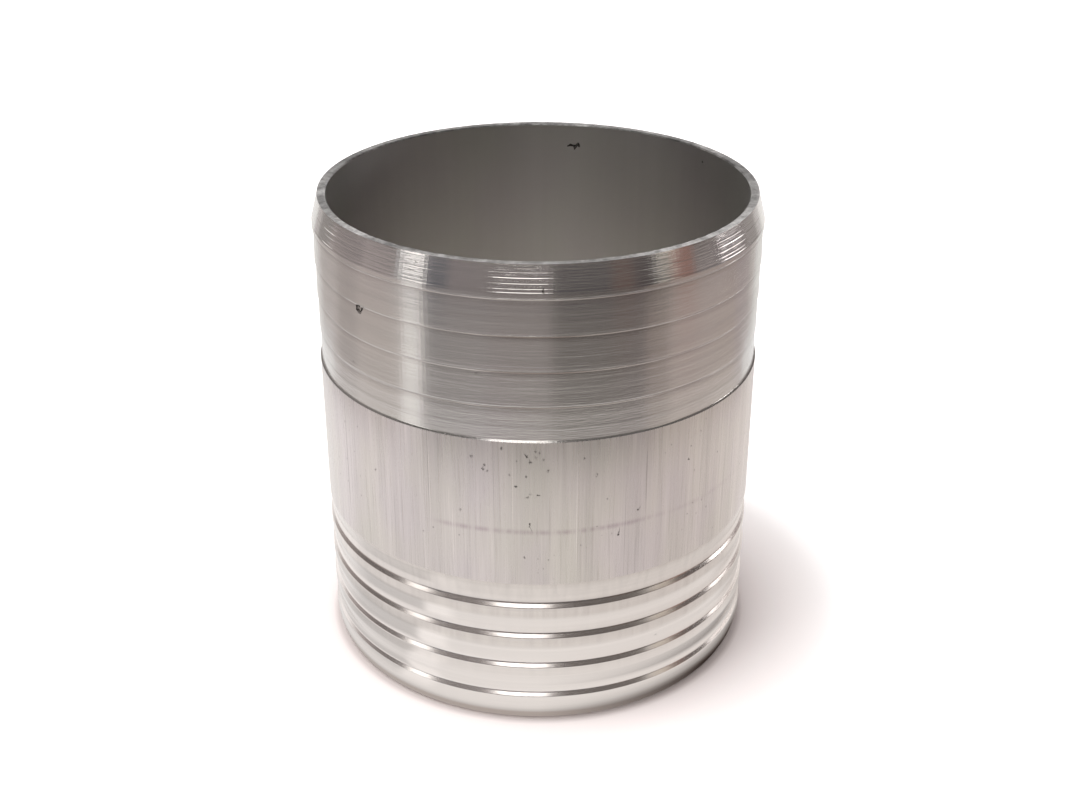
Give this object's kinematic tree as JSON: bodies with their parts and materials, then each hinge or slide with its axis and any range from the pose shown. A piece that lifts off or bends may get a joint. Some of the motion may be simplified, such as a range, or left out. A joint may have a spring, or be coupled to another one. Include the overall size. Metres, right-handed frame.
{
  "type": "hose connector",
  "caption": "Straight hose joiner made from a length of aluminium tube: open bore, tapered nose with sharp saw-tooth barbs at the top, plain middle band, smooth rounded barbs at the foot.",
  "frame": {"origin": "centre of the lower end, in the plane that the connector stands on", "axes": "+Z along the bore, from the rounded barbs up to the sharp barbs; X and Y across it, with -Y towards the front of the picture"},
  "size_m": [0.06, 0.06, 0.065],
  "materials": {
    "turned_aluminium": "bare metal: fine lathe lines on the sharp seat, as-drawn streaks on the middle band, bright smooth barbs below, dull bore"
  },
  "bodies": {
    "root": {"hose_connector": "turned_aluminium"}
  },
  "joints": []
}
